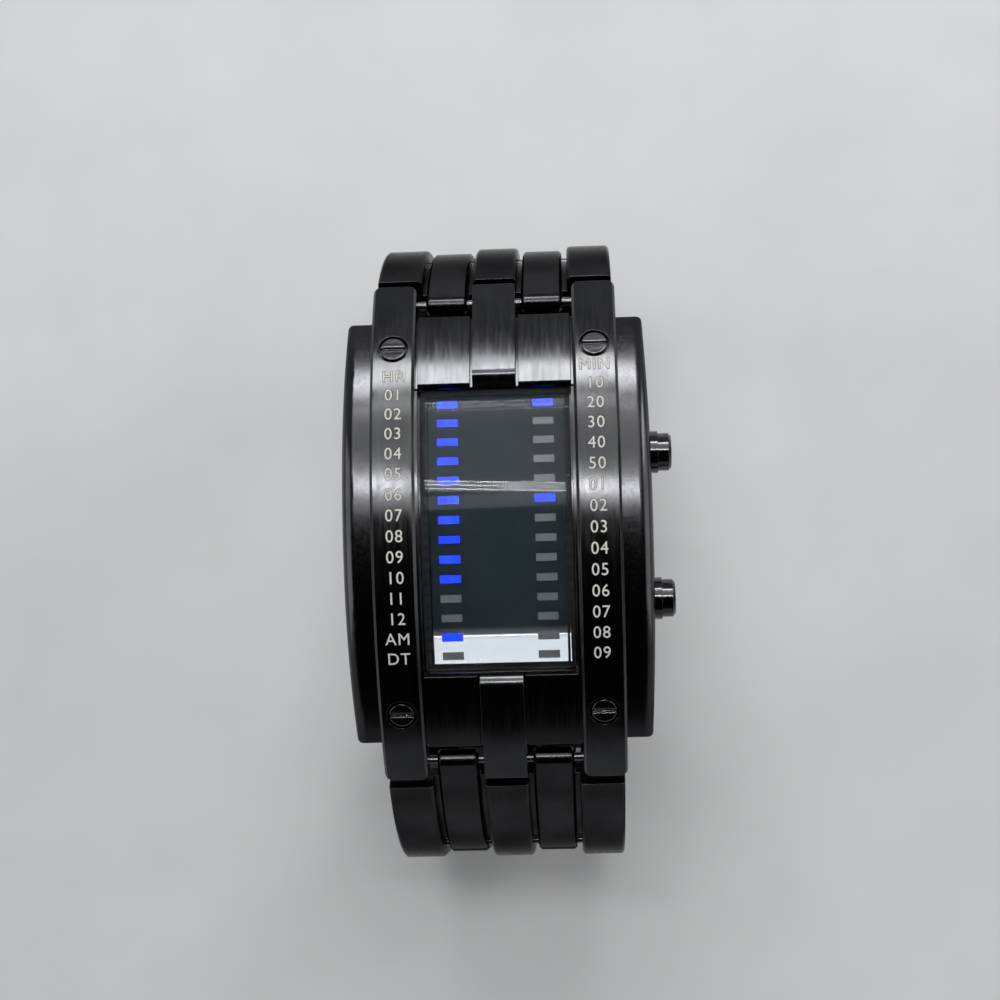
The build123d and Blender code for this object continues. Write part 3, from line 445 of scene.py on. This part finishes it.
def look():
    """Camera at the photograph's viewing angle"""
    rx, ry, rz = (math.radians(v) for v in CAMERA_TURN)
    turn = Matrix.Rotation(rz, 3, "Z") @ Matrix.Rotation(rx, 3, "X") @ Matrix.Rotation(ry, 3, "Y")
    lens_place = Vector((0, 0, CAMERA_DISTANCE)) - Vector(CAMERA_SHIFT)
    place = turn.transposed() @ lens_place + Vector(CAMERA_PIVOT)
    camera = bpy.data.objects.new("camera", bpy.data.cameras.new("camera"))
    camera.data.sensor_width = SENSOR_WIDTH
    camera.data.lens = FOCAL_PIXELS / FRAME_PIXELS * SENSOR_WIDTH
    camera.data.clip_start = 0.01
    camera.data.clip_end = 20
    camera.matrix_world = Matrix.Translation(place * MM) @ turn.transposed().to_4x4()
    bpy.context.scene.collection.objects.link(camera)
    bpy.context.scene.camera = camera


look()


# Floor, in metres: half its side, and where it starts and ends to fade into the room
FLOOR_HALF = 3.0
FLOOR_FADE = (0.15, 0.65)


def make_floor():
    """Floor that the watch stands on, under the clasp"""
    mesh = bpy.data.meshes.new("floor")
    low = cad_box[0][2]
    corners = ((-1, -1), (1, -1), (1, 1), (-1, 1))
    mesh.from_pydata([(x * FLOOR_HALF, y * FLOOR_HALF, low) for x, y in corners], [], [(0, 1, 2, 3)])
    floor = bpy.data.objects.new("floor", mesh)
    bpy.context.scene.collection.objects.link(floor)
    mat, tree, shader, coord = principled("floor")
    grain = noise(tree, coord, 60)
    tree.links.new(
        mixed(tree, ranged(tree, grain, 0, 1), (0.74, 0.745, 0.75), (0.78, 0.785, 0.79)),
        shader.inputs["Base Color"],
    )
    shader.inputs["Roughness"].default_value = 0.9
    # It fades into the room far away, and is clear from below, where it would hide the clasp
    side = tree.nodes.new("ShaderNodeNewGeometry")
    ray = tree.nodes.new("ShaderNodeLightPath")
    distance = tree.nodes.new("ShaderNodeVectorMath")
    distance.operation = "LENGTH"
    tree.links.new(coord, distance.inputs[0])
    far = tree.nodes.new("ShaderNodeMapRange")
    far.interpolation_type = "SMOOTHSTEP"
    far.inputs["From Min"].default_value = FLOOR_FADE[0]
    far.inputs["From Max"].default_value = FLOOR_FADE[1]
    tree.links.new(distance.outputs["Value"], far.inputs["Value"])
    fade = tree.nodes.new("ShaderNodeMath")
    fade.operation = "MULTIPLY_ADD"
    fade.use_clamp = True
    tree.links.new(far.outputs["Result"], fade.inputs[0])
    tree.links.new(ray.outputs["Is Camera Ray"], fade.inputs[1])
    tree.links.new(side.outputs["Backfacing"], fade.inputs[2])
    clear = tree.nodes.new("ShaderNodeBsdfTransparent")
    mix = tree.nodes.new("ShaderNodeMixShader")
    tree.links.new(fade.outputs[0], mix.inputs["Fac"])
    tree.links.new(shader.outputs["BSDF"], mix.inputs[1])
    tree.links.new(clear.outputs["BSDF"], mix.inputs[2])
    tree.links.new(mix.outputs["Shader"], tree.nodes["Material Output"].inputs["Surface"])
    mesh.materials.append(mat)


make_floor()


# Lamps over the watch: tilt from straight up towards +Y and across towards +X in degrees,
# width, height and distance in millimetres, radiance, and roll in degrees
SOFTBOXES = (
    # name, tilt, across, width, height, radiance, distance, roll
    ("panel", 28, 0, 340, 230, 1.15, 450, 0),
    ("edge_far", 51.5, 0, 250, 66, 11.5, 450, 0),
    ("edge_mid_a", 42.0, 0, 250, 2.5, 16.0, 450, 0),
    ("edge_mid_b", 41.0, 0, 250, 2.5, 16.0, 450, 0),
    ("edge_near_a", 15.4, -1, 250, 3, 52.0, 450, -20),
    ("edge_near_b", 14.2, -1, 250, 3, 52.0, 450, -20),
    ("edge_near_c", 13.0, -1, 250, 3, 52.0, 450, -20),
    ("edge_low", 10.2, -1, 250, 34, 1.8, 450, 0),
    ("side_left", 0, -62, 420, 420, 1.1, 520, 0),
    ("side_right", 0, 62, 420, 420, 1.0, 520, 0),
    ("side_strip", 42, 48, 130, 220, 3.5, 520, 0),
)


def softbox(name, tilt, across, width, height, radiance, distance, roll):
    """One lamp, turned towards the watch"""
    tilt, across, roll = (math.radians(v) for v in (tilt, across, roll))
    toward = Vector((
        math.sin(across),
        math.cos(across) * math.sin(tilt),
        math.cos(across) * math.cos(tilt),
    ))
    light = bpy.data.lights.new(name, "AREA")
    light.shape = "RECTANGLE"
    light.size = width * MM
    light.size_y = height * MM
    light.energy = radiance * math.pi * width * height * MM * MM
    stand = bpy.data.objects.new(name, light)
    facing = (-toward).to_track_quat("-Z", "Y").to_matrix().to_4x4()
    turn = facing @ Matrix.Rotation(roll, 4, "Z")
    stand.matrix_world = Matrix.Translation(toward * distance * MM) @ turn
    bpy.context.scene.collection.objects.link(stand)


for row in SOFTBOXES:
    softbox(*row)


# Dark patch of the room, where the photographer stands: its tilt towards +Y in degrees, and
# the cosines between which it sets in
PATCH_TILT = -26
PATCH_EDGE = (0.72, 0.80)


def make_world():
    """Soft grey room, brighter towards the horizon, with a dark patch where the viewer stands"""
    world = bpy.data.worlds.new("world")
    bpy.context.scene.world = world
    world.use_nodes = True
    tree = world.node_tree
    back = tree.nodes["Background"]
    coord = tree.nodes.new("ShaderNodeTexCoord")
    split = tree.nodes.new("ShaderNodeSeparateXYZ")
    tree.links.new(coord.outputs["Generated"], split.inputs[0])
    ramp = tree.nodes.new("ShaderNodeValToRGB")
    tree.links.new(split.outputs["Z"], ramp.inputs["Fac"])
    ramp.color_ramp.elements[0].position = 0.0
    ramp.color_ramp.elements[0].color = (0.32, 0.325, 0.335, 1)
    ramp.color_ramp.elements[1].position = 0.75
    ramp.color_ramp.elements[1].color = (0.13, 0.13, 0.135, 1)
    dot = tree.nodes.new("ShaderNodeVectorMath")
    dot.operation = "DOT_PRODUCT"
    tree.links.new(coord.outputs["Generated"], dot.inputs[0])
    dark = math.radians(PATCH_TILT)
    dot.inputs[1].default_value = (0, math.sin(dark), math.cos(dark))
    fade = tree.nodes.new("ShaderNodeMapRange")
    fade.inputs["From Min"].default_value = PATCH_EDGE[0]
    fade.inputs["From Max"].default_value = PATCH_EDGE[1]
    tree.links.new(dot.outputs["Value"], fade.inputs["Value"])
    # The patch is for reflections, and the room behind the watch stays plain
    ray = tree.nodes.new("ShaderNodeLightPath")
    hidden = tree.nodes.new("ShaderNodeMath")
    hidden.operation = "SUBTRACT"
    hidden.use_clamp = True
    tree.links.new(fade.outputs["Result"], hidden.inputs[0])
    tree.links.new(ray.outputs["Is Camera Ray"], hidden.inputs[1])
    mix = tree.nodes.new("ShaderNodeMix")
    mix.data_type = "RGBA"
    mix.inputs[7].default_value = (0.006, 0.0062, 0.0065, 1)
    tree.links.new(ramp.outputs["Color"], mix.inputs[6])
    tree.links.new(hidden.outputs[0], mix.inputs[0])
    tree.links.new(mix.outputs[2], back.inputs["Color"])
    back.inputs["Strength"].default_value = 1.0


make_world()

scene = bpy.context.scene
scene.view_settings.view_transform = "Standard"
